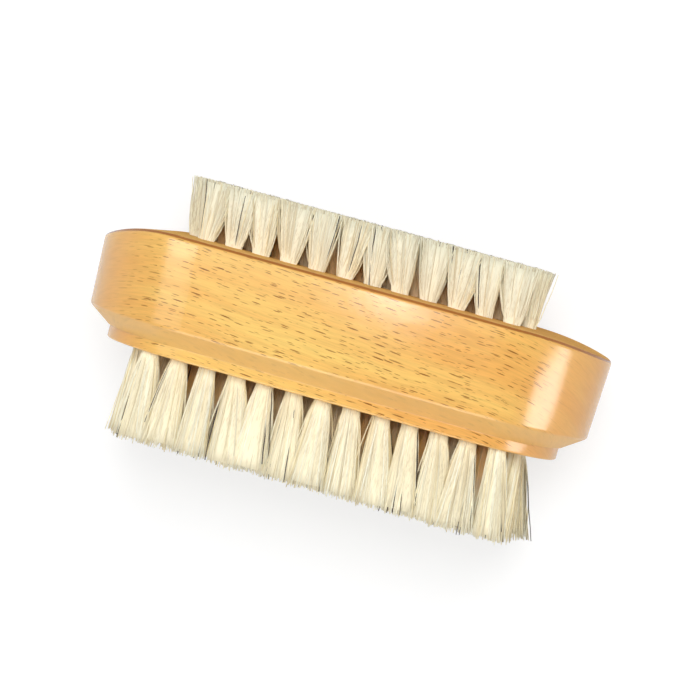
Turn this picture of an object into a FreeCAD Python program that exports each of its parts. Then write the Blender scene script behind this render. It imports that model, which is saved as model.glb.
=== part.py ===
import FreeCAD, Part

import math
import os
from types import SimpleNamespace

import Sketcher

# A two-faced nail brush: one oval beech block with bristle tufts set in blind holes in both faces.
# It lies on its long side. X runs along the block, Y from the long bristles to the short ones,
# and Z across the block, up from the surface that it lies on.

# Driving dimensions, in millimetres, and counts
SIZES = {
    # the block seen from its bristle side, and the thickness of its two steps
    "block_length": 95.0,
    "block_width": 40.0,
    "body_thickness": 19.35,
    "plinth_height": 2.35,
    # how much each end wall leans in from the upper face down to the plinth
    "end_lean": 0.9,
    # the sloping shoulder under the body: its height, how far in it reaches, and its rounded turn
    "shoulder_drop": 2.8,
    "shoulder_reach": 3.9,
    "turn_radius": 0.8,
    # the flat left between shoulder and plinth, and the eased edges
    "ledge_width": 0.4,
    "crease_radius": 0.3,
    "plinth_edge_radius": 0.35,
    "rim_radius": 0.9,
    # the ends of the upper face fall away along an arc, more at the left end
    "roll_run": 15.5,
    "left_roll_radius": 31.0,
    "right_roll_radius": 65.0,
    # the tuft holes and the tufts in them
    "hole_diameter": 3.0,
    "hole_clearance": 0.05,
    "lower_hole_depth": 7.5,
    "upper_hole_depth": 6.5,
    "lower_trim_length": 15.8,
    "upper_trim_length": 10.6,
    "tip_gap": 0.45,
    # the spread of the tufts, in rows that are set half a pitch apart
    "lower_pitch": 5.35,
    "upper_pitch": 5.2,
    "lower_row_spacing": 6.0,
    "upper_row_spacing": 6.0,
    "lower_rows": 5,
    "upper_rows": 3,
    "lower_tufts": 13,
    "upper_tufts": 12,
    # the flat wire anchor that each tuft is folded over
    "anchor_thickness": 0.4,
    "anchor_height": 1.8,
    "anchor_bite": 0.35,
    "fold_depth": 0.7,
    # how far cutting shapes reach past the faces that they cut
    "overcut": 1.0,
}

POINT_TOLERANCE = 1e-3


class Size:
    """A length with its expression in the sheet and its value."""

    def __init__(self, text, value):
        self.text = text
        self.value = value

    def joined(self, sign, other, value):
        return Size(f"({self.text} {sign} {other.text})", value)

    def __add__(self, other):
        return self.joined("+", other, self.value + other.value)

    def __sub__(self, other):
        return self.joined("-", other, self.value - other.value)

    def __mul__(self, factor):
        return Size(f"({self.text} * {factor})", self.value * factor)

    def __truediv__(self, factor):
        return Size(f"({self.text} / {factor})", self.value / factor)


doc = FreeCAD.newDocument("nail_brush")
sheet = doc.addObject("Spreadsheet::Sheet", "sizes")
for line, (name, value) in enumerate(SIZES.items(), start=1):
    sheet.set(f"A{line}", name)
    sheet.set(f"B{line}", str(value))
    sheet.setAlias(f"B{line}", name)
doc.recompute()

dim = SimpleNamespace(**{name: Size(f"sizes.{name}", value) for name, value in SIZES.items()})

# The seam between the body and its plinth is the zero level of the sketches
seam = Size("0", 0.0)

# Sizes that follow from the driving ones
half_run = (dim.block_length - dim.block_width) / 2
foot_run = half_run - dim.end_lean
mid_width = dim.block_width / 2
plinth_inset = dim.shoulder_reach + dim.ledge_width
hole_radius = dim.hole_diameter / 2
root_radius = hole_radius - dim.hole_clearance
anchor_length = dim.hole_diameter + dim.anchor_bite * 2
upper_tip = dim.body_thickness + dim.upper_trim_length
lower_tip = dim.plinth_height + dim.lower_trim_length
# Y = 0 lies halfway between the two trimmed bristle faces
frame_shift = (lower_tip - upper_tip) / 2


def origin_feature(body, role):
    """The body's own origin plane or axis."""
    for feature in body.Origin.OriginFeatures:
        if feature.Role == role:
            return feature
    raise ValueError(role)


def new_body(name, x=None, z=None):
    """A body in the shared frame, moved along X and Z by sheet expressions."""
    body = doc.addObject("PartDesign::Body", name)
    body.Label = name
    body.AllowCompound = True
    body.setExpression("Placement.Base.y", frame_shift.text)
    if x:
        body.setExpression("Placement.Base.x", x.text)
    if z:
        body.setExpression("Placement.Base.z", z.text)
    return body


def new_sketch(body, name, role):
    """A sketch on one of the body's origin planes."""
    sketch = body.newObject("Sketcher::SketchObject", name)
    sketch.AttachmentSupport = [(origin_feature(body, role), "")]
    sketch.MapMode = "FlatFace"
    return sketch


def bind(sketch, kind, places, size):
    """Adds a dimension to the sketch that follows the sheet."""
    index = sketch.addConstraint(Sketcher.Constraint(kind, *places, size.value))
    sketch.setExpression(f"Constraints[{index}]", size.text)


def hold_point(sketch, geometry, end, x, y):
    """Holds one end of a line or arc, or an arc's centre, at x and y. No x means on the upright axis."""
    if x is None:
        sketch.addConstraint(Sketcher.Constraint("PointOnObject", geometry, end, -2))
    else:
        bind(sketch, "DistanceX", (-1, 1, geometry, end), x)
    bind(sketch, "DistanceY", (-1, 1, geometry, end), y)


def polygon(sketch, corners):
    """A closed outline of straight lines with every corner held by the sheet."""
    points = [FreeCAD.Vector(x.value if x else 0.0, y.value, 0) for x, y in corners]
    lines = []
    for start, end in zip(points, points[1:] + points[:1]):
        lines.append(sketch.addGeometry(Part.LineSegment(start, end)))
    for line, after in zip(lines, lines[1:] + lines[:1]):
        sketch.addConstraint(Sketcher.Constraint("Coincident", line, 2, after, 1))
    for line, (x, y) in zip(lines, corners):
        hold_point(sketch, line, 1, x, y)


def oval(sketch, radius):
    """The block's outline at its foot: two straight sides joined by half circles of this radius."""
    run, middle, r = foot_run.value, mid_width.value, radius.value
    normal = FreeCAD.Vector(0, 0, 1)
    corners = [(-run, middle - r), (run, middle - r), (run, middle + r), (-run, middle + r)]
    a, b, c, d = [FreeCAD.Vector(x, y, 0) for x, y in corners]
    right = Part.Circle(FreeCAD.Vector(run, middle, 0), normal, r)
    left = Part.Circle(FreeCAD.Vector(-run, middle, 0), normal, r)
    quarter = math.pi / 2
    near = sketch.addGeometry(Part.LineSegment(a, b))
    right_arc = sketch.addGeometry(Part.ArcOfCircle(right, -quarter, quarter))
    far = sketch.addGeometry(Part.LineSegment(c, d))
    left_arc = sketch.addGeometry(Part.ArcOfCircle(left, quarter, 3 * quarter))
    for first, second in ((near, right_arc), (right_arc, far), (far, left_arc), (left_arc, near)):
        sketch.addConstraint(Sketcher.Constraint("Tangent", first, 2, second, 1))
    hold_point(sketch, right_arc, 3, foot_run, mid_width)
    hold_point(sketch, left_arc, 3, foot_run * -1, mid_width)
    bind(sketch, "Radius", (right_arc,), radius)


def half_disc(sketch, side):
    """One rounded end of the block's outline at its foot."""
    centre = FreeCAD.Vector(foot_run.value * side, mid_width.value, 0)
    circle = Part.Circle(centre, FreeCAD.Vector(0, 0, 1), mid_width.value)
    quarter = math.pi / 2
    angles = (-quarter, quarter) if side > 0 else (quarter, 3 * quarter)
    arc = sketch.addGeometry(Part.ArcOfCircle(circle, *angles))
    reach = FreeCAD.Vector(0, mid_width.value * side, 0)
    line = sketch.addGeometry(Part.LineSegment(centre + reach, centre - reach))
    sketch.addConstraint(Sketcher.Constraint("Coincident", arc, 2, line, 1))
    sketch.addConstraint(Sketcher.Constraint("Coincident", line, 2, arc, 1))
    sketch.addConstraint(Sketcher.Constraint("PointOnObject", arc, 3, line))
    sketch.addConstraint(Sketcher.Constraint("Vertical", line))
    hold_point(sketch, arc, 3, foot_run * side, mid_width)
    bind(sketch, "Radius", (arc,), mid_width)


def roll_cut(sketch, side, radius):
    """What an end of the upper face loses: all that lies above an arc which leaves the face smoothly."""
    start = (dim.block_length / 2 - dim.roll_run) * side
    outer = (dim.block_length / 2 + dim.overcut) * side
    top = dim.body_thickness + dim.overcut
    middle = dim.body_thickness - radius
    reach = outer.value - start.value
    height = math.sqrt(radius.value**2 - reach**2)
    circle = Part.Circle(
        FreeCAD.Vector(start.value, middle.value, 0), FreeCAD.Vector(0, 0, 1), radius.value
    )
    low_angle = math.atan2(height, reach)
    angles = (low_angle, math.pi / 2) if side > 0 else (math.pi / 2, low_angle)
    arc = sketch.addGeometry(Part.ArcOfCircle(circle, *angles))
    inner_end, outer_end = (2, 1) if side > 0 else (1, 2)
    corners = [
        FreeCAD.Vector(start.value, dim.body_thickness.value, 0),
        FreeCAD.Vector(start.value, top.value, 0),
        FreeCAD.Vector(outer.value, top.value, 0),
        FreeCAD.Vector(outer.value, middle.value + height, 0),
    ]
    lines = [
        sketch.addGeometry(Part.LineSegment(first, second))
        for first, second in zip(corners, corners[1:])
    ]
    sketch.addConstraint(Sketcher.Constraint("Coincident", arc, inner_end, lines[0], 1))
    sketch.addConstraint(Sketcher.Constraint("Coincident", lines[0], 2, lines[1], 1))
    sketch.addConstraint(Sketcher.Constraint("Coincident", lines[1], 2, lines[2], 1))
    sketch.addConstraint(Sketcher.Constraint("Coincident", lines[2], 2, arc, outer_end))
    sketch.addConstraint(Sketcher.Constraint("Vertical", lines[2]))
    bind(sketch, "Radius", (arc,), radius)
    hold_point(sketch, lines[0], 1, start, dim.body_thickness)
    hold_point(sketch, lines[1], 1, start, top)
    hold_point(sketch, lines[2], 1, outer, top)
    bind(sketch, "DistanceX", (-1, 1, arc, 3), start)


def feature(body, kind, name, sketch, **settings):
    """A pad, pocket or revolution of a sketch. A Size among the settings follows the sheet."""
    made = body.newObject(kind, name)
    made.Profile = sketch
    for setting, value in settings.items():
        if isinstance(value, Size):
            made.setExpression(setting, value.text)
        else:
            setattr(made, setting, value)
    doc.recompute()
    return made


def fillet(body, name, base, edges, radius):
    """Rounds the numbered edges of the feature before it."""
    made = body.newObject("PartDesign::Fillet", name)
    made.Base = (base, [f"Edge{number}" for number in edges])
    made.setExpression("Radius", radius.text)
    doc.recompute()
    return made


def outline_edges(shape, inset, lowest, highest):
    """Numbers of the edges between two heights that follow the leaning oval outline at this inset."""

    def on_outline(point):
        lean = dim.end_lean.value * (1 - max(point.y, 0.0) / dim.body_thickness.value)
        past = max(abs(point.x) - half_run.value + lean, 0.0)
        across = abs(point.z - mid_width.value)
        return abs(math.hypot(past, across) - (mid_width.value - inset)) < POINT_TOLERANCE

    found = []
    for number, edge in enumerate(shape.Edges, start=1):
        points = edge.discretize(7)
        level = all(lowest <= p.y <= highest for p in points)
        if level and all(on_outline(p) for p in points):
            found.append(number)
    return found


def make_block_body():
    """The beech block before drilling: body, fallen ends, sloping shoulder, rim and plinth."""
    body = new_body("block_blank")
    middle_section = new_sketch(body, "middle_section", "XY_Plane")
    top = dim.body_thickness
    corners = [(foot_run * -1, seam), (foot_run, seam), (half_run, top), (half_run * -1, top)]
    polygon(middle_section, corners)
    feature(body, "PartDesign::Pad", "middle_pad", middle_section, Length=dim.block_width)
    for side, name in ((1, "right_end"), (-1, "left_end")):
        outline = new_sketch(body, f"{name}_outline", "XZ_Plane")
        half_disc(outline, side)
        slant = {"UseCustomVector": True, "Direction": FreeCAD.Vector(0, 1, 0)}
        slant |= {"Direction.x": dim.end_lean * side, "Direction.y": top}
        walls = feature(body, "PartDesign::Pad", f"{name}_pad", outline, Length=top, **slant)
    full_volume = walls.Shape.Volume

    roll = new_sketch(body, "end_roll", "XY_Plane")
    roll_cut(roll, 1, dim.right_roll_radius)
    roll_cut(roll, -1, dim.left_roll_radius)
    rolled = feature(
        body, "PartDesign::Pocket", "end_roll_cut", roll, Type="ThroughAll", Reversed=True
    )
    if rolled.Shape.Volume >= full_volume:
        raise RuntimeError("the fallen ends were not cut")

    tolerance = POINT_TOLERANCE
    bottom_edges = outline_edges(rolled.Shape, 0.0, -tolerance, tolerance)
    drop = dim.shoulder_drop
    slope = body.newObject("PartDesign::Chamfer", "shoulder_slope")
    slope.Base = (rolled, [f"Edge{number}" for number in bottom_edges])
    slope.ChamferType = "Two distances"
    slope.setExpression("Size", drop.text)
    slope.setExpression("Size2", dim.shoulder_reach.text)
    doc.recompute()
    turn_edges = outline_edges(slope.Shape, 0.0, drop.value / 2, drop.value + tolerance)
    shoulder = fillet(body, "shoulder_turn", slope, turn_edges, dim.turn_radius)

    rim_edges = outline_edges(shoulder.Shape, 0.0, top.value / 2, top.value + tolerance)
    fillet(body, "rim_round", shoulder, rim_edges, dim.rim_radius)

    plinth_outline = new_sketch(body, "plinth_outline", "XZ_Plane")
    oval(plinth_outline, mid_width - plinth_inset)
    plinth = feature(
        body, "PartDesign::Pad", "plinth_pad", plinth_outline, Length=dim.plinth_height
    )
    crease_edges = outline_edges(plinth.Shape, plinth_inset.value, -tolerance, tolerance)
    crease = fillet(body, "crease_round", plinth, crease_edges, dim.crease_radius)
    foot = -dim.plinth_height.value
    foot_edges = outline_edges(crease.Shape, plinth_inset.value, foot - tolerance, foot + tolerance)
    fillet(body, "plinth_edge_round", crease, foot_edges, dim.plinth_edge_radius)
    return body


def repeat_along_row(body, name, count, pitch):
    """Repeats the whole body along the block."""
    pattern = body.newObject("PartDesign::LinearPattern", name)
    pattern.TransformMode = "Whole shape"
    pattern.Direction = (origin_feature(body, "X_Axis"), [""])
    pattern.Mode = "Spacing"
    pattern.setExpression("Offset", pitch.text)
    pattern.setExpression("Occurrences", count.text)
    body.Tip = pattern
    doc.recompute()


class TuftField:
    """The tufts of one face: where they stand, which way they point, and how they are set."""

    def __init__(self, name, face, outward):
        self.name = name
        self.face = face
        self.outward = outward
        self.depth = getattr(dim, f"{name}_hole_depth")
        self.trim = getattr(dim, f"{name}_trim_length")
        self.pitch = getattr(dim, f"{name}_pitch")
        self.spacing = getattr(dim, f"{name}_row_spacing")
        self.rows = SIZES[f"{name}_rows"]
        self.tufts = getattr(dim, f"{name}_tufts")
        self.tip_radius = (self.pitch - dim.tip_gap) / 2

    def level(self, size):
        """The Y of a point this far out from the face, or into it for a negative size."""
        return self.face + size * self.outward

    def anchor_corners(self):
        """The anchor's section across the row, just above the fold of the tuft."""
        side = dim.anchor_thickness / 2
        deep = self.level((self.depth - dim.fold_depth) * -1)
        shallow = self.level((self.depth - dim.fold_depth - dim.anchor_height) * -1)
        return [(side * -1, deep), (side, deep), (side, shallow), (side * -1, shallow)]

    def row_body(self, kind, row):
        """An empty body at the first tuft of a row, with the row's tuft count."""
        count = self.tufts + Size("1", 1) if row % 2 else self.tufts
        steps = Size("1", 1) - count
        first = Size(f"({steps.text} * {self.pitch.text} / 2)", steps.value * self.pitch.value / 2)
        across = mid_width + self.spacing * (row - (self.rows - 1) / 2)
        return new_body(f"{self.name}_{kind}_row_{row + 1}", first, across), count

    def revolve(self, body, corners):
        """A round solid about the tuft's own axis."""
        sketch = new_sketch(body, f"{body.Name}_profile", "XY_Plane")
        polygon(sketch, corners)
        name = f"{body.Name}_turned"
        return feature(
            body, "PartDesign::Revolution", name, sketch, ReferenceAxis=(sketch, ["V_Axis"])
        )

    def anchor_shape(self, body, kind, length):
        """The anchor's section, padded or cut evenly to both sides of the row's centre plane."""
        sketch = new_sketch(body, f"{body.Name}_section", "XY_Plane")
        polygon(sketch, self.anchor_corners())
        name = f"{body.Name}_flat"
        return feature(body, kind, name, sketch, SideType="Symmetric", Length=length)

    def make_holes(self, row):
        """What a row of blind holes takes out of the block, with the anchors' bites in their walls."""
        body, count = self.row_body("holes", row)
        floor = self.level(self.depth * -1)
        mouth = self.level(dim.overcut)
        self.revolve(body, [(None, floor), (hole_radius, floor), (hole_radius, mouth), (None, mouth)])
        self.anchor_shape(body, "PartDesign::Pad", anchor_length)
        repeat_along_row(body, f"{body.Name}_repeat", count, self.pitch)
        return body

    def make_tufts(self, row):
        """A row of tufts: a round root in the hole, flared to the trimmed tip, split by its anchor."""
        body, count = self.row_body("tufts", row)
        root = self.level((self.depth - dim.hole_clearance) * -1)
        tip = self.level(self.trim)
        corners = [
            (None, root),
            (root_radius, root),
            (root_radius, self.face),
            (self.tip_radius, tip),
            (None, tip),
        ]
        whole = self.revolve(body, corners).Shape.Volume
        slotted = self.anchor_shape(body, "PartDesign::Pocket", dim.hole_diameter)
        if slotted.Shape.Volume >= whole:
            raise RuntimeError(f"{body.Label} has no room for its anchors")
        repeat_along_row(body, f"{body.Name}_repeat", count, self.pitch)
        return body

    def make_anchors(self, row):
        """A row of flat wire anchors, each wider than its hole so that its ends bite into the wood."""
        body, count = self.row_body("anchors", row)
        self.anchor_shape(body, "PartDesign::Pad", anchor_length)
        repeat_along_row(body, f"{body.Name}_repeat", count, self.pitch)
        return body


def drilled_block(blank, holes):
    """The block with every tuft hole drilled."""
    drills = doc.addObject("Part::Compound", "drills")
    drills.Links = holes
    block = doc.addObject("Part::Cut", "wooden_block")
    block.Label = "wooden_block"
    block.Base = blank
    block.Tool = drills
    doc.recompute()
    if block.Shape.Volume >= blank.Shape.Volume:
        raise RuntimeError("the tuft holes were not drilled")
    return block


def check(nodes):
    """Stops if any object failed or any sub-part has no sound shape."""
    for made in doc.Objects:
        if {"Invalid", "Error"} & set(made.State):
            raise RuntimeError(f"{made.Label} failed: {made.State}")
    for node in nodes:
        if node.Shape.isNull() or not node.Shape.isValid() or not node.Shape.Solids:
            raise RuntimeError(f"{node.Label} has no sound shape")


def write(nodes):
    """Writes each sub-part to its own file."""
    os.makedirs("parts", exist_ok=True)
    for node in nodes:
        node.Shape.exportStep(f"parts/{node.Label}.step")
        print(f"{node.Label}: {len(node.Shape.Solids)} solids, {node.Shape.Volume:.1f} mm3")


fields = [
    TuftField("lower", dim.plinth_height * -1, -1),
    TuftField("upper", dim.body_thickness, 1),
]
places = [(field, row) for field in fields for row in range(field.rows)]
block = drilled_block(make_block_body(), [field.make_holes(row) for field, row in places])
tufts = [field.make_tufts(row) for field, row in places]
anchors = [field.make_anchors(row) for field, row in places]
nodes = [block, *tufts, *anchors]
doc.recompute()
check(nodes)
write(nodes)
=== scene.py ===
"""Looks of a two-faced wooden nail brush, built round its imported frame.

The brush lies on its long side. X runs along the block, Y from the long bristles to the short
ones, and Z up from the floor. Lengths are in metres, and MM turns millimetres into them.
"""

import logging
import math
from collections.abc import Callable, Iterable
from dataclasses import dataclass
from enum import Enum
from functools import partial

import bpy
import numpy as np
from mathutils import Matrix, Vector


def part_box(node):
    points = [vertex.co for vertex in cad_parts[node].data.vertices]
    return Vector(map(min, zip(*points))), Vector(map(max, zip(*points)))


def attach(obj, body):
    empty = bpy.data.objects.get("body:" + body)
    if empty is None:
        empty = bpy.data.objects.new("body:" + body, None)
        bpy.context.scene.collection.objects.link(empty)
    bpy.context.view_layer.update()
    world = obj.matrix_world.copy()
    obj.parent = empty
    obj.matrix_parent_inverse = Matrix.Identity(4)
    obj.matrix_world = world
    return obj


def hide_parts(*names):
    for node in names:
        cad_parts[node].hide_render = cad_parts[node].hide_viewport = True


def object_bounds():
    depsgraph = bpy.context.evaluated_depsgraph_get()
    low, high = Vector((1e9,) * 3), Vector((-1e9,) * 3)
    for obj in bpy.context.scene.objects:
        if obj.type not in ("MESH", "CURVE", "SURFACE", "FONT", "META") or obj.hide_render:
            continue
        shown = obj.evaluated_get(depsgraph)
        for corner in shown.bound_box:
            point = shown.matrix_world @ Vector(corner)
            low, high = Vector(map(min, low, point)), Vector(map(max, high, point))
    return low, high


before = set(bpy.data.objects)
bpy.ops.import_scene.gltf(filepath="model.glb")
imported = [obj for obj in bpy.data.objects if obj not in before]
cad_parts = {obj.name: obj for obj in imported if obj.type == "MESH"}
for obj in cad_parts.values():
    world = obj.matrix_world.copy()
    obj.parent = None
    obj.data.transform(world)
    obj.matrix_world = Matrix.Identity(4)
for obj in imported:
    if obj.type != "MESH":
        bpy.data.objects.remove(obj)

CAD_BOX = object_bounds()
BODY = "root"
MM = 0.001

# Sockets of the colour mix node, which shares its names among several types
MIX_FACTOR, MIX_A, MIX_B, MIX_RESULT = 0, 6, 7, 2

# add_node with its tree already given, and what nodes pass on to each other
AddNode = Callable[..., bpy.types.Node]
Socket = bpy.types.NodeSocket

log = logging.getLogger("nail_brush")


def linear(code: str) -> tuple[float, float, float, float]:
    """Turns an sRGB hex colour into a linear one.

    Args:
        code: Colour such as "#EDB76A".

    Returns:
        Linear red, green and blue, and an alpha of 1.
    """
    parts = [int(code[i : i + 2], 16) / 255 for i in (1, 3, 5)]
    lit = [c / 12.92 if c <= 0.04045 else ((c + 0.055) / 1.055) ** 2.4 for c in parts]
    return (*lit, 1.0)


def add_node(
    tree: bpy.types.NodeTree,
    kind: str,
    inputs: dict[int | str, object] | None = None,
    **settings: object,
) -> bpy.types.Node:
    """Adds a node with its settings, and sets or links its inputs.

    Args:
        tree: Node tree that takes the node.
        kind: Type of the node, without the "ShaderNode" that all of them start with.
        inputs: From an input's name or number to a constant or another node's output.
        **settings: Properties of the node itself.

    Returns:
        The new node.
    """
    node = tree.nodes.new(f"ShaderNode{kind}")
    for name, value in settings.items():
        setattr(node, name, value)
    for key, value in (inputs or {}).items():
        if isinstance(value, Socket):
            tree.links.new(value, node.inputs[key])
        else:
            node.inputs[key].default_value = value
    return node


def new_material(name: str) -> tuple[bpy.types.Material, bpy.types.NodeTree]:
    """Makes a material with an empty node tree.

    Args:
        name: Name of the material.

    Returns:
        The material and its tree.
    """
    material = bpy.data.materials.new(name)
    material.use_nodes = True
    material.node_tree.nodes.clear()
    return material, material.node_tree


@dataclass(frozen=True)
class RayFlecks:
    """One size class of the short dark ray ends that beech shows, in millimetres.

    Each triple runs along the grain, across it, and along the rays into the wood.
    """

    spacing: tuple[float, float, float]
    half_size: tuple[float, float, float]
    strength: float

    def darkness(self, add: AddNode, grain: Socket) -> Socket:
        """Draws a spindle in each cell of a scattered lattice, of a size and depth of its own.

        Args:
            add: Adds a node to the material.
            grain: Place in the grain, in millimetres.

        Returns:
            How dark the flecks are there, from 0 to their strength.
        """
        cell_scale = tuple(1 / space for space in self.spacing)
        spindle_scale = tuple(space / half for space, half in zip(self.spacing, self.half_size))
        cells = add("VectorMath", {0: grain, 1: cell_scale}, operation="MULTIPLY").outputs[0]
        lattice = add("TexVoronoi", {"Vector": cells, "Scale": 1.0, "Randomness": 1.0})
        off = add("VectorMath", {0: cells, 1: lattice.outputs["Position"]}, operation="SUBTRACT")
        spindle = add("VectorMath", {0: off.outputs[0], 1: spindle_scale}, operation="MULTIPLY")
        distance = add("VectorMath", {0: spindle.outputs[0]}, operation="LENGTH")
        chance = add("SeparateColor", {0: lattice.outputs["Color"]})
        size = add("MapRange", {"Value": chance.outputs[0], "To Min": 0.35, "To Max": 1.25})
        ratio = add("Math", {0: distance.outputs["Value"], 1: size.outputs[0]}, operation="DIVIDE")
        inside = add(
            "MapRange",
            {"Value": ratio.outputs[0], "From Min": 1.0, "From Max": 0.6, "To Max": self.strength},
            interpolation_type="SMOOTHSTEP",
        )
        depth = add("MapRange", {"Value": chance.outputs[1], "To Min": 0.5, "To Max": 1.0})
        dark = add("Math", {0: inside.outputs[0], 1: depth.outputs[0]}, operation="MULTIPLY")
        return dark.outputs[0]


@dataclass(frozen=True)
class LacqueredBeech:
    """Steamed beech, sanded smooth and dipped in clear lacquer.

    Gives a warm golden ground, short dark flecks along the grain that droop where the surface
    turns away, and a clear film that mirrors the lamps softly. Painted shade darkens the ends, a
    thin band along the rim and the drilled upper face, and a painted sheen makes the shoulder paler.
    Lengths are in millimetres and slopes in degrees. A stretch says how many of its widths a mark
    runs along the grain and into the wood. The crown has a value along X and one along Y.
    """

    name: str = "lacquered_beech"
    pale: str = "#F6CE71"
    deep: str = "#E8AC58"
    fleck: str = "#80480A"
    # Painted sheen: the shoulder, which faces down, is made paler than the walls
    shoulder: str = "#FFCD82"
    # Painted shade on the rounded ends
    end_shade: str = "#F2B062"
    # Painted shade in a thin band along the rim
    rim: str = "#A0601E"
    # Painted shade on the drilled upper face, under the bristles
    drilled_face_shade: str = "#DCA868"
    # Share of the painted shade or sheen at its fullest, on all but the rim band
    painted_light_share: float = 0.6
    grain_slope: float = -4.0
    ray_slope: float = 23.0
    drift_length: float = 20.0
    wander: float = 0.5
    band_width: float = 5.0
    band_stretch: tuple[float, float] = (12.0, 3.0)
    pore_width: float = 0.3
    pore_stretch: tuple[float, float] = (14.0, 8.0)
    heart_reach: tuple[float, float] = (-12.0, 25.0)
    heart_share: float = 0.2
    flecks: tuple[RayFlecks, ...] = (
        RayFlecks((2.8, 1.1, 3.4), (1.15, 0.12, 1.8), 1.0),
        RayFlecks((1.8, 0.7, 2.3), (0.75, 0.088, 1.1), 0.9),
    )
    fleck_depth: float = 0.02
    wave_length: float = 2.857
    wave_height: float = 0.03
    crown_middle: tuple[float, float] = (9.0, 5.0)
    crown_turn: tuple[float, float] = (0.5, 0.5)
    crown_reach: tuple[float, float] = (10.0, 40.0)

    def material(self) -> bpy.types.Material:
        """Builds the wood, its flecks and stains, and the lacquer over it.

        Returns:
            The material.
        """
        material, tree = new_material(self.name)
        add = partial(add_node, tree)
        place = add("TexCoord")
        facing = add("SeparateXYZ", {0: place.outputs["Normal"]})
        scaled = add("VectorMath", {0: place.outputs["Object"], "Scale": 1 / MM}, operation="SCALE")
        point = scaled.outputs[0]
        grain = self.grain_place(add, point)
        colour, relief = self.bare_wood(add, point, grain)
        colour, relief = self.with_flecks(add, grain, facing, colour, relief)
        # Painted shade and sheen, by which way each face turns
        colour = self.with_painted_light(add, facing, colour)
        ripple = self.film_ripple(add, point)

        # No lacquer is left on the drilled faces, which are dull, and little on the shoulder
        level = add("Math", {0: facing.outputs["Y"]}, operation="ABSOLUTE")
        film = add("MapRange", {"Value": level.outputs[0], "From Min": 0.99, "From Max": 0.6})
        rough = add("MapRange", {"Value": film.outputs[0], "To Min": 0.85, "To Max": 0.45})
        bump = add(
            "Bump",
            {
                "Height": relief,
                "Strength": 0.25,
                "Distance": self.fleck_depth * MM,
                "Normal": ripple,
            },
        )
        shader = add(
            "BsdfPrincipled",
            {
                "Base Color": colour,
                "Roughness": rough.outputs[0],
                "IOR": 1.5,
                "Specular IOR Level": 0.0,
                "Normal": bump.outputs[0],
                "Coat Weight": film.outputs[0],
                "Coat Roughness": 0.2,
                "Coat IOR": 1.5,
                "Coat Normal": ripple,
            },
        )
        add("OutputMaterial", {"Surface": shader.outputs[0]})
        return material

    def grain_place(self, add: AddNode, point: Socket) -> Socket:
        """Measures along the grain, across it and into the block.

        The grain runs a little downhill with a slow drift, and its rays dip into the block.

        Args:
            add: Adds a node to the material.
            point: Place on the block, in millimetres.

        Returns:
            The place in the grain, in millimetres.
        """
        grain_fall = math.tan(math.radians(self.grain_slope))
        ray_fall = math.tan(math.radians(self.ray_slope))
        dip = (-grain_fall, 1.0, -ray_fall)
        across = add("VectorMath", {0: point, 1: dip}, operation="DOT_PRODUCT")
        drift = add("TexNoise", {"Vector": point, "Scale": 1 / self.drift_length, "Detail": 1.0})
        drift_mm = add(
            "MapRange",
            {"Value": drift.outputs[0], "To Min": -self.wander, "To Max": self.wander},
        )
        wavy = add("Math", {0: across.outputs["Value"], 1: drift_mm.outputs[0]}, operation="ADD")
        split = add("SeparateXYZ", {0: point})
        grain = add(
            "CombineXYZ",
            {0: split.outputs["X"], 1: wavy.outputs[0], 2: split.outputs["Z"]},
        )
        return grain.outputs[0]

    def bare_wood(self, add: AddNode, point: Socket, grain: Socket) -> tuple[Socket, Socket]:
        """Colours the wood by its growth bands and pores, both drawn out along the grain.

        Args:
            add: Adds a node to the material.
            point: Place on the block, in millimetres.
            grain: Place in the grain, in millimetres.

        Returns:
            The colour, and the tone of the pores, which stands for their height too.
        """
        marks = []
        for width, (along, inward), detail in (
            (self.band_width, self.band_stretch, 3.0),
            (self.pore_width, self.pore_stretch, 2.0),
        ):
            scale = (1 / (along * width), 1 / width, 1 / (inward * width))
            drawn = add("VectorMath", {0: grain, 1: scale}, operation="MULTIPLY")
            noise = add("TexNoise", {"Vector": drawn.outputs[0], "Scale": 1.0, "Detail": detail})
            marks.append(noise.outputs[0])
        bands, pores = marks

        # The wood deepens towards the right end
        start, end = self.heart_reach
        heart = add(
            "MapRange",
            {
                "Value": add("SeparateXYZ", {0: point}).outputs["X"],
                "From Min": start,
                "From Max": end,
                "To Max": self.heart_share,
            },
            interpolation_type="SMOOTHSTEP",
        )
        sap = add("Math", {0: bands, 1: heart.outputs[0]}, operation="SUBTRACT")
        share = add("MapRange", {"Value": sap.outputs[0], "From Min": 0.25, "From Max": 0.65})
        banded = add(
            "Mix",
            {MIX_FACTOR: share.outputs[0], MIX_A: linear(self.deep), MIX_B: linear(self.pale)},
            data_type="RGBA",
        )
        tone = add(
            "MapRange",
            {"Value": pores, "From Min": 0.35, "From Max": 0.65, "To Min": 0.89, "To Max": 1.04},
        )
        toned = add(
            "VectorMath",
            {0: banded.outputs[MIX_RESULT], "Scale": tone.outputs[0]},
            operation="SCALE",
        )
        return toned.outputs[0], tone.outputs[0]

    def with_flecks(
        self, add: AddNode, grain: Socket, facing: bpy.types.Node, colour: Socket, relief: Socket
    ) -> tuple[Socket, Socket]:
        """Lays the ray flecks over the wood.

        Args:
            add: Adds a node to the material.
            grain: Place in the grain, in millimetres.
            facing: Node with the parts of the surface's normal.
            colour: Colour of the bare wood.
            relief: Height of the bare wood.

        Returns:
            The colour and the height with the flecks in them.
        """
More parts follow.
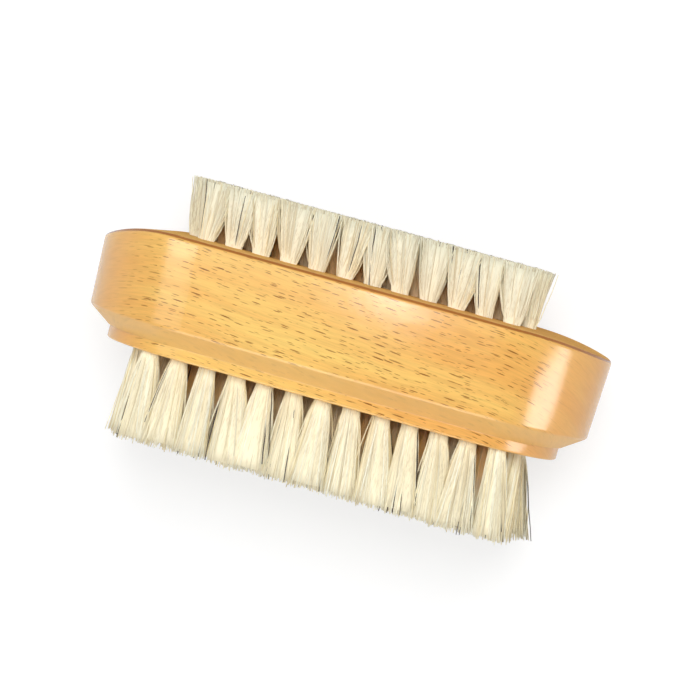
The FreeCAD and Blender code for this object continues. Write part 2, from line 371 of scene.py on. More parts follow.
        # The shoulder and the ends lie along the rays, and show few of them
        above = add(
            "MapRange",
            {"Value": facing.outputs["Y"], "From Min": -0.7, "From Max": -0.3, "To Min": 0.35},
        )
        endward = add("Math", {0: facing.outputs["X"]}, operation="ABSOLUTE")
        beside = add("MapRange", {"Value": endward.outputs[0], "From Min": 0.85, "From Max": 0.5})
        shown = add("Math", {0: above.outputs[0], 1: beside.outputs[0]}, operation="MULTIPLY")
        for layer in self.flecks:
            dark = layer.darkness(add, grain)
            mask = add("Math", {0: dark, 1: shown.outputs[0]}, operation="MULTIPLY").outputs[0]
            flecked = add(
                "Mix", {MIX_FACTOR: mask, MIX_A: colour, MIX_B: linear(self.fleck)}, data_type="RGBA"
            )
            sunk = add("Math", {0: relief, 1: mask}, operation="SUBTRACT")
            colour, relief = flecked.outputs[MIX_RESULT], sunk.outputs[0]
        return colour, relief

    def with_painted_light(self, add: AddNode, facing: bpy.types.Node, colour: Socket) -> Socket:
        """Paints shade and sheen onto the wood by which way each face turns.

        Painted shade darkens the ends as they turn sideways, a thin band along the rim, and the
        drilled upper face under the bristles. A painted sheen makes the shoulder paler.

        Args:
            add: Adds a node to the material.
            facing: Node with the parts of the surface's normal.
            colour: Colour of the walls.

        Returns:
            The colour of the whole block.
        """
        up, most = facing.outputs["Y"], self.painted_light_share
        endward = add("Math", {0: facing.outputs["X"]}, operation="ABSOLUTE").outputs[0]
        # Painted shade on the ends, growing as they turn sideways
        ends = add("MapRange", {"Value": endward, "From Min": 0.3, "From Max": 0.7, "To Max": most})
        # Painted sheen on the shoulder, paler as it turns down
        sanded = add("MapRange", {"Value": up, "From Min": -0.2, "From Max": -0.8, "To Max": most})
        # Painted shade in a thin band along the rounded rim, which turns up towards the bristles
        rim_shade_low = add("MapRange", {"Value": up, "From Min": 0.25, "From Max": 0.5})
        rim_shade_high = add("MapRange", {"Value": up, "From Min": 0.97, "From Max": 0.8})
        rim_shade_share = add("Math", {0: rim_shade_low.outputs[0], 1: rim_shade_high.outputs[0]}, operation="MULTIPLY")
        # Painted shade on the drilled upper face, which lies under the bristles
        drilled_shade_share = add("MapRange", {"Value": up, "From Min": 0.8, "From Max": 0.97, "To Max": most})
        for share, painted_tone in (
            (ends, self.end_shade),
            (sanded, self.shoulder),
            (rim_shade_share, self.rim),
            (drilled_shade_share, self.drilled_face_shade),
        ):
            colour = add(
                "Mix",
                {MIX_FACTOR: share.outputs[0], MIX_A: colour, MIX_B: linear(painted_tone)},
                data_type="RGBA",
            ).outputs[MIX_RESULT]
        return colour

    def film_ripple(self, add: AddNode, point: Socket) -> Socket:
        """Bends the highlights as the real surface does.

        Sanding left the walls a little crowned along and across, and the film lies in slow waves
        a few millimetres long. The crown's turn, in degrees for each millimetre, eases off past
        its reach.

        Args:
            add: Adds a node to the material.
            point: Place on the block, in millimetres.

        Returns:
            The bent normal.
        """
        split = add("SeparateXYZ", {0: point})
        waves = add("TexNoise", {"Vector": point, "Scale": 1 / self.wave_length, "Detail": 2.0})
        low = add("Math", {0: waves.outputs[0], 1: self.wave_height}, operation="MULTIPLY")
        height = low.outputs[0]
        for axis, middle, turn, reach in zip(
            "XY", self.crown_middle, self.crown_turn, self.crown_reach
        ):
            off = add("Math", {0: split.outputs[axis], 1: middle}, operation="SUBTRACT").outputs[0]
            square = add("Math", {0: off, 1: off, 2: reach**2}, operation="MULTIPLY_ADD")
            arc = add("Math", {0: square.outputs[0]}, operation="SQRT")
            fall = -math.radians(turn) * reach
            crowned = add(
                "Math", {0: arc.outputs[0], 1: fall, 2: height}, operation="MULTIPLY_ADD"
            )
            height = crowned.outputs[0]
        return add("Bump", {"Height": height, "Strength": 1.0, "Distance": MM}).outputs[0]


@dataclass(frozen=True)
class NaturalBristle:
    """Bleached hog bristle, cut square.

    Gives ivory strands that run from straw to near white, with painted shade at the root, a few dark
    hairs left among them, and a dull sheen along each one. Lengths are in millimetres.
    """

    name: str = "natural_bristle"
    straw: str = "#F3E4B4"
    ivory: str = "#FFF4D0"
    white: str = "#FFFCE4"
    shade: str = "#BFA672"
    gap: str = "#94804F"
    # Painted shade at the roots, where the tufts crowd and shade each other
    root: str = "#DFA254"
    dark: str = "#33241A"
    streak_width: float = 0.2
    streak_length: float = 9.0
    end_width: float = 0.42

    def material(self) -> bpy.types.Material:
        """Builds the strand finish from what each strand carries and from its place.

        Returns:
            The material.
        """
        material, tree = new_material(self.name)
        add = partial(add_node, tree)
        tint, run, dark, tan, depth = (
            add("Attribute", attribute_name=f"strand_{name}").outputs["Fac"]
            for name in ("tint", "run", "dark", "tan", "depth")
        )
        place = add("TexCoord").outputs["Object"]
        colour = self.tinted(add, tint, run, tan)
        colour = self.shaded(add, place, depth, colour)
        colour = self.with_cut_ends(add, place, colour)
        mixed = add(
            "Mix", {MIX_FACTOR: dark, MIX_A: colour, MIX_B: linear(self.dark)}, data_type="RGBA"
        )
        gloss = add("MapRange", {"Value": tint, "To Min": 0.4, "To Max": 0.55})
        shader = add(
            "BsdfPrincipled",
            {"Base Color": mixed.outputs[MIX_RESULT], "Roughness": gloss.outputs[0], "IOR": 1.5},
        )
        add("OutputMaterial", {"Surface": shader.outputs[0]})
        return material

    def tinted(self, add: AddNode, tint: Socket, run: Socket, tan: Socket) -> Socket:
        """Colours a strand by its tint, with painted shade towards its root.

        Args:
            add: Adds a node to the material.
            tint: From 0 for straw to 1 for white.
            run: From 0 at the face of the block to 1 at the tip.
            tan: How much painted shade the root takes, from 0 to 1.

        Returns:
            The colour.
        """
        low = add("MapRange", {"Value": tint, "From Max": 0.5})
        high = add("MapRange", {"Value": tint, "From Min": 0.5})
        # Painted shade towards the root, up to the strand's tan value
        root_shade_share = add(
            "MapRange",
            {"Value": run, "From Min": 0.75, "From Max": 0.25, "To Max": tan},
            interpolation_type="SMOOTHSTEP",
        )
        colour = linear(self.straw)
        for share, tone in ((low, self.ivory), (high, self.white), (root_shade_share, self.root)):
            colour = add(
                "Mix",
                {MIX_FACTOR: share.outputs[0], MIX_A: colour, MIX_B: linear(tone)},
                data_type="RGBA",
            ).outputs[MIX_RESULT]
        return colour

    def shaded(self, add: AddNode, place: Socket, depth: Socket, colour: Socket) -> Socket:
        """Paints shade on the strands that lie behind others, over their whole length, and streaks
        of painted shade on the rest.

        Args:
            add: Adds a node to the material.
            place: Place on the strand, in metres.
            depth: How far back the strand lies, from 0 to 1.
            colour: Colour of the strand in the light.

        Returns:
            The colour.
        """
        # Packed strands are finer than a pixel, so the painted streaks of shade between them are
        # drawn about twice as coarse
        fine, long = 1 / (self.streak_width * MM), 1 / (self.streak_length * MM)
        drawn = add("VectorMath", {0: place, 1: (fine, long, fine)}, operation="MULTIPLY")
        streaks = add("TexNoise", {"Vector": drawn.outputs[0], "Scale": 1.0, "Detail": 1.0})
        tone = add(
            "MapRange",
            {"Value": streaks.outputs[0], "From Min": 0.5, "From Max": 0.36, "To Max": 0.35},
        )
        behind = add("MapRange", {"Value": depth, "From Min": 0.5, "From Max": 1.0, "To Max": 0.65})
        share = add("Math", {0: tone.outputs[0], 1: behind.outputs[0]}, operation="MAXIMUM")
        return add(
            "Mix",
            {MIX_FACTOR: share.outputs[0], MIX_A: colour, MIX_B: linear(self.shade)},
            data_type="RGBA",
        ).outputs[MIX_RESULT]

    def with_cut_ends(self, add: AddNode, place: Socket, colour: Socket) -> Socket:
        """Shows a trimmed tuft's cut ends as pale dots with shade between them.

        Args:
            add: Adds a node to the material.
            place: Place on the strand, in metres.
            colour: Colour along the strand.

        Returns:
            The colour.
        """
        # The dots are drawn coarser than the strands too
        dots = add("TexVoronoi", {"Vector": place, "Scale": 1 / (self.end_width * MM)})
        between = add(
            "MapRange",
            {"Value": dots.outputs["Distance"], "From Min": 0.3, "From Max": 0.7, "To Max": 0.8},
        )
        level = add("SeparateXYZ", {0: add("NewGeometry").outputs["True Normal"]})
        upright = add("Math", {0: level.outputs["Y"]}, operation="ABSOLUTE")
        cut = add("Math", {0: upright.outputs[0], 1: 0.95}, operation="GREATER_THAN")
        hollow = add("Math", {0: between.outputs[0], 1: cut.outputs[0]}, operation="MULTIPLY")
        return add(
            "Mix",
            {MIX_FACTOR: hollow.outputs[0], MIX_A: colour, MIX_B: linear(self.gap)},
            data_type="RGBA",
        ).outputs[MIX_RESULT]


@dataclass(frozen=True)
class DrawnSteelWire:
    """Flattened steel wire, drawn bright.

    Gives a grey metal with fine streaks along the draw. The streaks' width is in millimetres, and
    their stretch says how many widths they are long.
    """

    name: str = "anchor_wire"
    steel: str = "#A9A7A2"
    streak_width: float = 0.08
    streak_stretch: float = 20.0

    def material(self) -> bpy.types.Material:
        """Builds the streaked metal.

        Returns:
            The material.
        """
        material, tree = new_material(self.name)
        add = partial(add_node, tree)
        place = add("TexCoord").outputs["Object"]
        fine = 1 / (self.streak_width * MM)
        scale = (fine, fine, fine / self.streak_stretch)
        drawn = add("VectorMath", {0: place, 1: scale}, operation="MULTIPLY")
        streaks = add("TexNoise", {"Vector": drawn.outputs[0], "Scale": 1.0, "Detail": 2.0})
        rough = add("MapRange", {"Value": streaks.outputs[0], "To Min": 0.25, "To Max": 0.45})
        shader = add(
            "BsdfPrincipled",
            {"Base Color": linear(self.steel), "Metallic": 1.0, "Roughness": rough.outputs[0]},
        )
        add("OutputMaterial", {"Surface": shader.outputs[0]})
        return material


@dataclass(frozen=True)
class WhitePaper:
    """Matt white background paper.

    Gives a ground that reads as white where it is lit and keeps the soft shadows. What is mirrored
    in the lacquer gets a share of the lift.
    """

    name: str = "white_paper"
    paper: str = "#C8C8C8"
    shaded: str = "#A0A0A0"
    lift: float = 0.695
    mirror_share: float = 0.6

    def material(self) -> bpy.types.Material:
        """Builds the paper, lifted to white for what sees it and plain for the light it returns.

        Returns:
            The material.
        """
        material, tree = new_material(self.name)
        add = partial(add_node, tree)
        path = add("LightPath")
        seen, mirrored = path.outputs["Is Camera Ray"], path.outputs["Is Glossy Ray"]
        share = add("Math", {0: mirrored, 1: self.mirror_share, 2: seen}, operation="MULTIPLY_ADD")
        glow = add("Math", {0: share.outputs[0], 1: self.lift}, operation="MULTIPLY")
        tone = add(
            "Mix",
            {MIX_FACTOR: seen, MIX_A: linear(self.paper), MIX_B: linear(self.shaded)},
            data_type="RGBA",
        )
        matt = add("BsdfDiffuse", {"Color": tone.outputs[MIX_RESULT]})
        lifted = add("Emission", {"Strength": glow.outputs[0]})
        both = add("AddShader", {0: matt.outputs[0], 1: lifted.outputs[0]})
        add("OutputMaterial", {"Surface": both.outputs[0]})
        return material


class TubeMesh:
    """A mesh of closed round tubes, built up in batches of equal shape."""

    def __init__(self, name: str, out: int) -> None:
        """Starts an empty mesh whose tubes point along Y.

        Args:
            name: Name of the mesh.
            out: The way that the tubes point, 1 or -1.
        """
        self.name = name
        self.out = out
        self.points: list[np.ndarray] = []
        self.normals: list[np.ndarray] = []
        self.corners: list[np.ndarray] = []
        self.sizes: list[np.ndarray] = []
        self.values: dict[str, list[np.ndarray]] = {}
        self.used = 0

    def add(
        self,
        axis: np.ndarray,
        radius: np.ndarray,
        sides: int,
        values: dict[str, np.ndarray | float],
        outward: np.ndarray,
    ) -> None:
        """Adds tubes whose rings lie level in X and Z.

        Args:
            axis: Tube by station, each a place in the frame.
            radius: Tube by station, or anything that spreads to that.
            sides: Corners of each ring.
            values: Named values, each tube by station or anything that spreads to that.
            outward: For each tube, what is added to its normals to make a bundle shade as one form.
        """
        count, rings, _ = axis.shape
        angles = np.arange(sides) * (2 * math.pi / sides)
        section = np.stack([np.cos(angles), np.zeros(sides), np.sin(angles)], 1)
        wide = np.broadcast_to(radius, (count, rings))[:, :, None, None]
        points = axis[:, :, None, :] + wide * section
        strength = np.linalg.norm(outward, axis=1)[:, None, None, None]
        normals = np.broadcast_to(section, points.shape) * (1 - strength)
        normals += outward[:, None, None, :]
        normals[:, -1, :, 1] += self.out
        normals /= np.maximum(np.linalg.norm(normals, axis=-1, keepdims=True), 1e-6)

        index = self.used + np.arange(count * rings * sides).reshape(count, rings, sides)
        after = np.roll(index, -1, axis=2)
        walls = np.stack([index[:, :-1], after[:, :-1], after[:, 1:], index[:, 1:]], axis=-1)
        ends = np.concatenate([index[:, 0, ::-1], index[:, -1]])
        for faces in (walls.reshape(-1, 4), ends):
            turned = faces[:, ::-1] if self.out > 0 else faces
            self.corners.append(turned.ravel())
            self.sizes.append(np.full(len(faces), faces.shape[1]))
        self.points.append(points.reshape(-1, 3))
        self.normals.append(normals.reshape(-1, 3))
        for name, value in values.items():
            spread = np.broadcast_to(np.asarray(value, dtype=float), (count, rings))
            self.values.setdefault(name, []).append(np.repeat(spread.ravel(), sides))
        self.used += index.size

    def piece(self) -> bpy.types.Object:
        """Turns the tubes into an object.

        Returns:
            The new object, in the scene.
        """
        points, corners = np.concatenate(self.points), np.concatenate(self.corners)
        sizes = np.concatenate(self.sizes)
        mesh = bpy.data.meshes.new(self.name)
        mesh.vertices.add(len(points))
        mesh.vertices.foreach_set("co", points.astype(np.float32).ravel())
        mesh.loops.add(len(corners))
        mesh.loops.foreach_set("vertex_index", corners.astype(np.int32))
        mesh.polygons.add(len(sizes))
        starts = np.concatenate([[0], np.cumsum(sizes)[:-1]])
        mesh.polygons.foreach_set("loop_start", starts.astype(np.int32))
        mesh.polygons.foreach_set("use_smooth", np.ones(len(sizes), dtype=bool))
        mesh.update(calc_edges=True)
        mesh.normals_split_custom_set_from_vertices(np.concatenate(self.normals).tolist())
        for name, value in self.values.items():
            attribute = mesh.attributes.new(name, "FLOAT", "POINT")
            attribute.data.foreach_set("value", np.concatenate(value).astype(np.float32))
        piece = bpy.data.objects.new(mesh.name, mesh)
        bpy.context.scene.collection.objects.link(piece)
        return piece


class Face(Enum):
    """The two bristle faces of the block, by the way that their tufts point along Y."""

    LOWER = -1
    UPPER = 1


@dataclass(frozen=True)
class TuftStyle:
    """How the tufts of one face stand.

    Attributes:
        strands: Loose strands of each tuft.
        spread: Radius of a tuft at its tip, in millimetres.
        flare_power: Power of the run by which a tuft opens, less than 1 being early.
        lean: How far all the tips lean along X, in millimetres.
        end_flare: How far more the tips lean outwards at the ends of a row, in millimetres.
        tuft_lean: How far a tip leans by chance, in millimetres.
        ragged: How uneven the trim is, in millimetres.
        short_share: Share of the strands that end before the trim.
        short_by: By how much the shortest of these do, in millimetres.
        dark_tips: Share of the strands with a dark tip.
        tint: Middle tint of the strands, from 0 for straw to 1 for white.
    """

    strands: int
    spread: float
    flare_power: float
    lean: float
    end_flare: float
    tuft_lean: float
    ragged: float
    short_share: float
    short_by: float
    dark_tips: float
    tint: float


LONG_TUFTS = TuftStyle(
    strands=150,
    spread=3.55,
    flare_power=0.9,
    lean=1.0,
    end_flare=0.5,
    tuft_lean=0.65,
    ragged=0.25,
    short_share=0.12,
    short_by=2.5,
    dark_tips=0.01,
    tint=0.62,
)
SHORT_TUFTS = TuftStyle(
    strands=150,
    spread=3.2,
    flare_power=0.85,
    lean=-0.9,
    end_flare=-0.5,
    tuft_lean=0.65,
    ragged=0.08,
    short_share=0.05,
    short_by=1.2,
    dark_tips=0.015,
    tint=1.0,
)


@dataclass(frozen=True)
class Stand:
    """Where the tufts of a row stand and how each one goes from there, in metres.

    Each array has one entry for each tuft. The lean moves a tip along X and Z.
    """

    centres: np.ndarray
    middle: float
    lean: np.ndarray
    spread: np.ndarray
    # Painted root shade of each tuft, from 0 to 1
    tan: np.ndarray


@dataclass
class TuftRow:
    """One row of bristle tufts, standing in the holes of one face of the block.

    Each tuft is a packed core of the strands that no one sees singly, with loose strands over it
    and past its end. The row's side goes from -1 nearest the floor to 1 farthest from it.
    """

    node: str
    face: Face
    tufts: int
    style: TuftStyle
    # How much painted shade the roots of the row take
    tan: float
    side: float
    seed: int

    # Each tuft in its hole, and how tufts differ
    hole_fill: float = 1.45 * MM
    sink: float = 2.0 * MM
    soft_normal: float = 0.75
    spread_chance: float = 0.1
    root_shade_range: tuple[float, float] = (0.4, 1.0)
    tuft_tint_chance: float = 0.1

    # The packed cores, whose ends step back by shares of the stagger
    core_fill: float = 0.9
    core_sides: int = 16
    core_stations: tuple[float, ...] = (0.0, 0.25, 0.5, 0.75, 1.0)
    core_end: float = 0.97
    core_stagger: float = 0.03
    tuft_step: float = 0.618
    row_step: float = 0.29
    core_end_fill: float = 0.96
    core_tint: float = -0.1
    core_depth: float = 0.55

    # The loose strands, crowded towards the outside of the tuft, where they show
    strand_radius: float = 0.12 * MM
    radius_range: tuple[float, float] = (0.75, 1.2)
    taper: float = 0.35
    strand_sides: int = 4
    stations: tuple[float, ...] = (0.0, 0.2, 0.42, 0.64, 0.84, 1.0)
    crowd_power: float = 0.3
    scatter: float = 0.28 * MM
    stray_share: float = 0.09
    stray_factor: float = 6.0
    stray_limit: float = 1.3 * MM
    bow: float = 0.2 * MM
    kink: float = 0.04 * MM
    short_range: tuple[float, float] = (0.2, 1.0)
    tint_chance: float = 0.28

    # The dark hairs, as shares of the strands and of their length
    dark_share: float = 0.008
    part_dark_share: float = 0.014
    part_dark_start: tuple[float, float] = (0.1, 0.7)
    dark_tip_start: float = 0.95

    def build(self) -> bpy.types.Object:
        """Grows the row's cores and strands into one mesh.

        Returns:
            The new piece, in the scene.
        """
        rng = np.random.default_rng(self.seed)
        low, high = (np.array(corner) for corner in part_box(self.node))
        tip_radius = (high[2] - low[2]) / 2
        centres = np.linspace(low[0] + tip_radius, high[0] - tip_radius, self.tufts)

        # Each tuft leans as a whole, with its row, and in or out near the ends of the row
        style = self.style
        lean = rng.normal(0, style.tuft_lean * MM, (self.tufts, 2))
        lean[:, 0] += style.lean * MM + style.end_flare * MM * centres / abs(centres).max()
        spread = style.spread * MM * rng.normal(1, self.spread_chance, self.tufts)
        # Each tuft gets its own share of painted root shade, and the tufts at the ends of a row,
        # which stand in the open, get none
        tan = self.tan * rng.uniform(*self.root_shade_range, self.tufts)
        tan[[0, -1]] = 0.0
        stand = Stand(centres, (low[2] + high[2]) / 2, lean, spread, tan)

        mesh = TubeMesh(self.node.replace("tufts", "bristles"), self.face.value)
        self.add_cores(mesh, stand)
        self.add_strands(mesh, stand, rng)
        return mesh.piece()

    def trim(self) -> tuple[float, float]:
        """Finds the level of the face that the row stands in and the length of its bristles.

        Returns:
            The face's Y and the length.
        """
        low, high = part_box(self.node)
        block_low, block_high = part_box("wooden_block")
        if self.face is Face.UPPER:
            return block_high[1], high[1] - block_high[1]
        return block_low[1], block_low[1] - low[1]

    def add_cores(self, mesh: TubeMesh, stand: Stand) -> None:
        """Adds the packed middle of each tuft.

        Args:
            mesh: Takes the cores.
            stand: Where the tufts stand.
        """
        face_y, trim = self.trim()
        # No two cores end level, in a row or across rows, so that those that meet don't share a face
        steps = np.arange(self.tufts) * self.tuft_step + self.seed * self.row_step
        ends = self.core_end - self.core_stagger * np.modf(steps)[0]
        run = np.array(self.core_stations) * ends[:, None]
        flare = run**self.style.flare_power
        growth = stand.spread[:, None] - self.hole_fill
        radius = self.core_fill * (self.hole_fill + growth * flare)
        radius[:, -1] *= self.core_end_fill
        axis = np.empty((*run.shape, 3))
        axis[..., 0] = stand.centres[:, None] + stand.lean[:, :1] * flare
        axis[..., 1] = face_y + self.face.value * run * trim
        axis[:, 0, 1] -= self.face.value * self.sink
        axis[..., 2] = stand.middle + stand.lean[:, 1:] * flare
        values = {
            "strand_tint": self.style.tint + self.core_tint,
            "strand_run": run,
            "strand_dark": 0.0,
            "strand_tan": stand.tan[:, None],
            "strand_depth": self.core_depth,
        }
        outward = np.tile((0.0, 0.0, self.side * self.soft_normal), (self.tufts, 1))
        mesh.add(axis, radius, self.core_sides, values, outward)

    def add_strands(self, mesh: TubeMesh, stand: Stand, rng: np.random.Generator) -> None:
        """Adds the loose strands over the cores.

        Args:
            mesh: Takes the strands.
            stand: Where the tufts stand.
            rng: Source of the row's chances.
        """
        style = self.style
        count = self.tufts * style.strands
        tuft = np.repeat(np.arange(self.tufts), style.strands)
        turn = rng.uniform(0, 2 * math.pi, count)
        ring = rng.uniform(0, 1, count) ** self.crowd_power
        off_axis = np.stack([np.cos(turn), np.sin(turn)], 1) * ring[:, None]
        stations = np.array((-self.sink / self.trim()[1], *self.stations))
        run = np.clip(stations, 0, 1)
        axis, radius = self.strand_paths(stand, tuft, off_axis, stations, rng)

        tuft_tint = rng.normal(0, self.tuft_tint_chance, self.tufts)
        tint = np.clip(rng.normal(style.tint, self.tint_chance, count) + tuft_tint[tuft], 0, 1)
        values = {
            "strand_tint": tint[:, None],
            "strand_run": run[None, :],
            "strand_dark": self.dark_hairs(rng, count, run),
            "strand_tan": stand.tan[tuft][:, None],
            "strand_depth": rng.random(count)[:, None],
        }
        outward = np.stack([off_axis[:, 0], np.zeros(count), off_axis[:, 1]], 1) / 2
        outward[:, 2] += self.side / 2
        outward *= self.soft_normal
        narrowing = 1 - self.taper * run
        mesh.add(axis, radius[:, None] * narrowing, self.strand_sides, values, outward)

    def strand_paths(
        self,
        stand: Stand,
        tuft: np.ndarray,
        off_axis: np.ndarray,
        stations: np.ndarray,
        rng: np.random.Generator,
    ) -> tuple[np.ndarray, np.ndarray]:
        """Leads each strand from its hole to its tip, with strays, short ones and a slight bow.

        Args:
            stand: Where the tufts stand.
            tuft: For each strand, the number of its tuft.
            off_axis: For each strand, its place in the tuft's section, as a share of the radius.
            stations: Stations along a strand, from inside the hole to the tip.
            rng: Source of the row's chances.

        Returns:
            Places by strand and station, and the strands' radii.
        """
        style, count = self.style, len(tuft)
        face_y, trim = self.trim()
        root = off_axis * self.hole_fill
        scatter = rng.normal(0, self.scatter, (count, 2))
        stray = rng.random(count) < self.stray_share
        scatter[stray] *= self.stray_factor
        scatter = np.clip(scatter, -self.stray_limit, self.stray_limit)
        tip = off_axis * stand.spread[tuft][:, None] + scatter + stand.lean[tuft]
        bow = rng.normal(0, self.bow, (count, 2))
        length = trim + rng.normal(0, style.ragged * MM, count)
        short = rng.random(count) < style.short_share
        length[short] -= rng.uniform(*self.short_range, short.sum()) * style.short_by * MM
        radius = self.strand_radius * rng.uniform(*self.radius_range, count)

        run = np.clip(stations, 0, 1)
        flare = (run**style.flare_power)[None, :, None]
        swell = (4 * run * (1 - run))[None, :, None]
        path = root[:, None] + (tip - root)[:, None] * flare + bow[:, None] * swell
        path += rng.normal(0, self.kink, path.shape) * swell
        reach = np.where(stations > 0, stations * length[:, None], stations * trim)
        axis = np.empty((count, len(stations), 3))
        axis[..., 0] = stand.centres[tuft][:, None] + path[..., 0]
        axis[..., 1] = face_y + self.face.value * reach
        axis[..., 2] = stand.middle + path[..., 1]
        return axis, radius

    def dark_hairs(self, rng: np.random.Generator, count: int, run: np.ndarray) -> np.ndarray:
        """Picks the few strands that stayed dark, whole or in part.

        Args:
            rng: Source of the row's chances.
            count: Number of strands.
            run: Stations along a strand, from face to tip.

        Returns:
            Darkness from 0 to 1 for each strand and station.
        """
        chance = rng.random(count)
        start = rng.uniform(*self.part_dark_start, count)
        whole = chance < self.dark_share
        part = ~whole & (chance < self.dark_share + self.part_dark_share)
        tipped = chance > 1 - self.style.dark_tips
        dark = np.zeros((count, len(run)))
        dark[whole] = 1.0
        dark[part] = run > start[part][:, None]
        dark[tipped] = run > self.dark_tip_start
        return dark

    def dress(self, piece: bpy.types.Object, finish: bpy.types.Material) -> None:
        """Gives the row its finish and its place in the frame.

        Args:
            piece: The row's mesh.
            finish: Material of the strands.
        """
        piece.data.materials.append(finish)
        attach(piece, BODY)
        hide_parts(self.node)


@dataclass
class BristleFields:
    """The tufts of both faces, row by row from the floor up.

    The roots get painted shade, more in the middle rows, which stand deep between the others.
    """

    outer_root_shade: float = 0.1
    inner_root_shade: float = 1.0
    long_counts: tuple[int, ...] = (13, 14, 13, 14, 13)
    short_counts: tuple[int, ...] = (12, 13, 12)
    first_seed: int = 100

    def rows(self) -> list[TuftRow]:
        """Lists every row with its node, its count and a seed of its own.

        Returns:
            The rows, long ones first.
        """
        rows = []
        for face, counts, style in (
            (Face.LOWER, self.long_counts, LONG_TUFTS),
            (Face.UPPER, self.short_counts, SHORT_TUFTS),
        ):
            for number, tufts in enumerate(counts, start=1):
                node = f"{face.name.lower()}_tufts_row_{number}"
                tan = self.outer_root_shade if number in (1, len(counts)) else self.inner_root_shade
                side = 2 * (number - 1) / (len(counts) - 1) - 1
                seed = self.first_seed + len(rows)
                rows.append(TuftRow(node, face, tufts, style, tan, side, seed))
        return rows

    def build(self, finish: bpy.types.Material) -> None:
        """Builds and dresses each row.

        Args:
            finish: Material of the strands.
        """
        for row in self.rows():
            piece = row.build()
            row.dress(piece, finish)
            log.info("%s: %d tufts, %d faces", piece.name, row.tufts, len(piece.data.polygons))


@dataclass
class CarriedNodes:
    """Solids of the frame whose shape is right as it is, and which only need their finish."""

    names: Iterable[str]

    def dress(self, finish: bpy.types.Material) -> None:
        """Puts the finish on every slot of each solid.

        Args:
            finish: Material of the solids.
        """
        for name in self.names:
            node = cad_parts[name]
            for slot in node.material_slots:
                slot.material = finish
            log.info("%s: %s", name, finish.name)


@dataclass(frozen=True)
class Softbox:
    """A rectangular lamp, placed by how far it leans from straight above the brush.

    Angles are in degrees, positive to the right and towards the short bristles. A lamp with no
    glint lights the brush without showing in its lacquer, as one behind a large diffuser does. A
    lamp with no wash only shows in the lacquer, as a strip of white card does.
    """

    name: str
    right: float
    back: float
    distance: float
    size: tuple[float, float]
    radiance: float
    glint: bool = True
    wash: bool = True

    def build(self, target: Vector) -> None:
        """Hangs the lamp and points it at the target.

        Args:
            target: Where the lamp points.
        """
        slope = [math.tan(math.radians(angle)) for angle in (self.right, self.back)]
        away = Vector((*slope, 1.0)).normalized()
        lamp = bpy.data.lights.new(self.name, "AREA")
        lamp.shape = "RECTANGLE"
        lamp.size, lamp.size_y = self.size
        lamp.energy = self.radiance * math.pi * self.size[0] * self.size[1]
        holder = bpy.data.objects.new(self.name, lamp)
        across = away.cross(Vector((1, 0, 0))).normalized()
        turn = Matrix((across.cross(away), across, away)).transposed()
        holder.matrix_world = Matrix.Translation(target + away * self.distance) @ turn.to_4x4()
        holder.visible_camera = False
        holder.visible_glossy = self.glint
        holder.visible_diffuse = self.wash
        bpy.context.scene.collection.objects.link(holder)


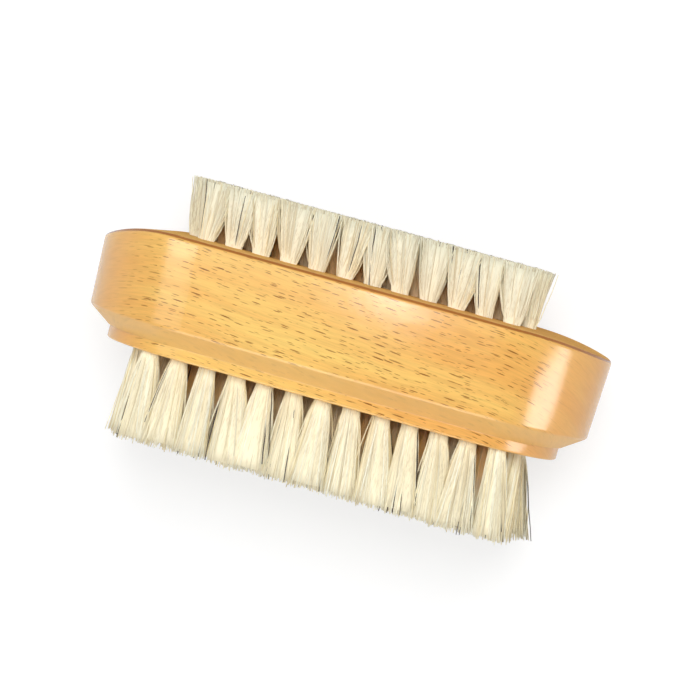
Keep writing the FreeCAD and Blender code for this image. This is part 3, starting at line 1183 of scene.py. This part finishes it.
@dataclass
class Studio:
    """White paper under the brush, soft lamps round it and a white room.

    In the lacquer the room is brighter low down. The paper lies a hair below the block, so that
    the two don't share a level.
    """

    paper_side: float = 6.0
    paper_drop: float = 0.02 * MM
    room_light: float = 0.52
    room_low: float = 0.95
    room_rise: float = 0.5
    lamps: tuple[Softbox, ...] = (
        Softbox("key_softbox", 2.0, 23.0, 0.9, (0.5, 0.5), 7.2, glint=False),
        Softbox("low_fill", 0.0, -58.0, 0.9, (0.9, 0.3), 2.8, glint=False),
        Softbox("front_card", 0.0, -50.0, 0.9, (0.9, 0.9), 3.0, wash=False),
        Softbox("left_card", -36.0, 0.0, 0.9, (0.45, 0.5), 2.2, wash=False),
        Softbox("left_top_card", -36.0, 9.0, 0.9, (0.45, 0.17), 5.5, wash=False),
        Softbox("top_card", -5.0, 8.5, 0.9, (0.2, 0.17), 15.0, wash=False),
        Softbox("right_strip", 72.5, -21.0, 0.7, (0.31, 0.22), 9.5, wash=False),
    )

    def build(self, target: Vector) -> None:
        """Lays the paper, hangs the lamps and lights the room.

        Args:
            target: Where the lamps point.
        """
        self.lay_paper(WhitePaper().material())
        for lamp in self.lamps:
            lamp.build(target)
            log.info("%s: lamp", lamp.name)
        self.light_room()
        bpy.context.scene.view_settings.view_transform = "Standard"

    def lay_paper(self, finish: bpy.types.Material) -> None:
        """Lays the paper under the brush.

        Args:
            finish: Material of the paper.
        """
        half, level = self.paper_side / 2, -self.paper_drop
        corners = [(x * half, y * half, level) for x, y in ((-1, -1), (1, -1), (1, 1), (-1, 1))]
        mesh = bpy.data.meshes.new("paper_ground")
        mesh.from_pydata(corners, [], [(0, 1, 2, 3)])
        mesh.materials.append(finish)
        ground = bpy.data.objects.new(mesh.name, mesh)
        bpy.context.scene.collection.objects.link(ground)
        log.info("%s: %s", ground.name, finish.name)

    def light_room(self) -> None:
        """Gives the scene its white room."""
        world = bpy.data.worlds.new("white_room")
        world.use_nodes = True
        world.node_tree.nodes.clear()
        add = partial(add_node, world.node_tree)
        path = add("LightPath")
        low = add(
            "MapRange",
            {
                "Value": path.outputs["Is Glossy Ray"],
                "To Min": self.room_light,
                "To Max": self.room_low,
            },
        )
        height = add("SeparateXYZ", {0: add("TexCoord").outputs["Generated"]})
        room = add(
            "MapRange",
            {
                "Value": height.outputs["Z"],
                "From Max": self.room_rise,
                "To Min": low.outputs[0],
                "To Max": self.room_light,
            },
        )
        level = add(
            "Math", {0: room.outputs[0], 1: path.outputs["Is Camera Ray"]}, operation="MAXIMUM"
        )
        sky = add("Background", {"Strength": level.outputs[0]})
        add("OutputWorld", {"Surface": sky.outputs[0]})
        bpy.context.scene.world = world


@dataclass
class PhotoCamera:
    """The camera above the brush, turned as the photograph is.

    Its place, aim, lens and sensor are in millimetres, its roll in degrees and its clip in metres.
    """

    name: str = "photo_camera"
    place: tuple[float, float, float] = (52.7, 30.6, 570.0)
    aim: tuple[float, float, float] = (1.2, 0.94, 20.0)
    roll: float = 15.28
    lens: float = 156.9
    sensor: float = 36.0
    clip: tuple[float, float] = (0.01, 20.0)

    def build(self) -> None:
        """Sets up the camera and makes it the scene's own."""
        place, aim = Vector(self.place) * MM, Vector(self.aim) * MM
        roll = math.radians(self.roll)
        back = (place - aim).normalized()
        up = Vector((-math.sin(roll), math.cos(roll), 0.0))
        right = up.cross(back).normalized()
        turn = Matrix((right, back.cross(right), back)).transposed()
        camera = bpy.data.cameras.new(self.name)
        camera.lens, camera.sensor_width = self.lens, self.sensor
        camera.clip_start, camera.clip_end = self.clip
        holder = bpy.data.objects.new(self.name, camera)
        holder.matrix_world = Matrix.Translation(place) @ turn.to_4x4()
        bpy.context.scene.collection.objects.link(holder)
        bpy.context.scene.camera = holder


def main() -> None:
    """Dresses the block, grows the bristles and sets up the studio and the camera."""
    logging.basicConfig(level=logging.INFO, format="%(name)s: %(message)s")
    CarriedNodes(["wooden_block"]).dress(LacqueredBeech().material())
    anchors = sorted(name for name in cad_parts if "_anchors_" in name)
    CarriedNodes(anchors).dress(DrawnSteelWire().material())
    BristleFields().build(NaturalBristle().material())
    middle = (CAD_BOX[0] + CAD_BOX[1]) / 2
    Studio().build(middle)
    PhotoCamera().build()


if __name__ == "__main__":
    main()
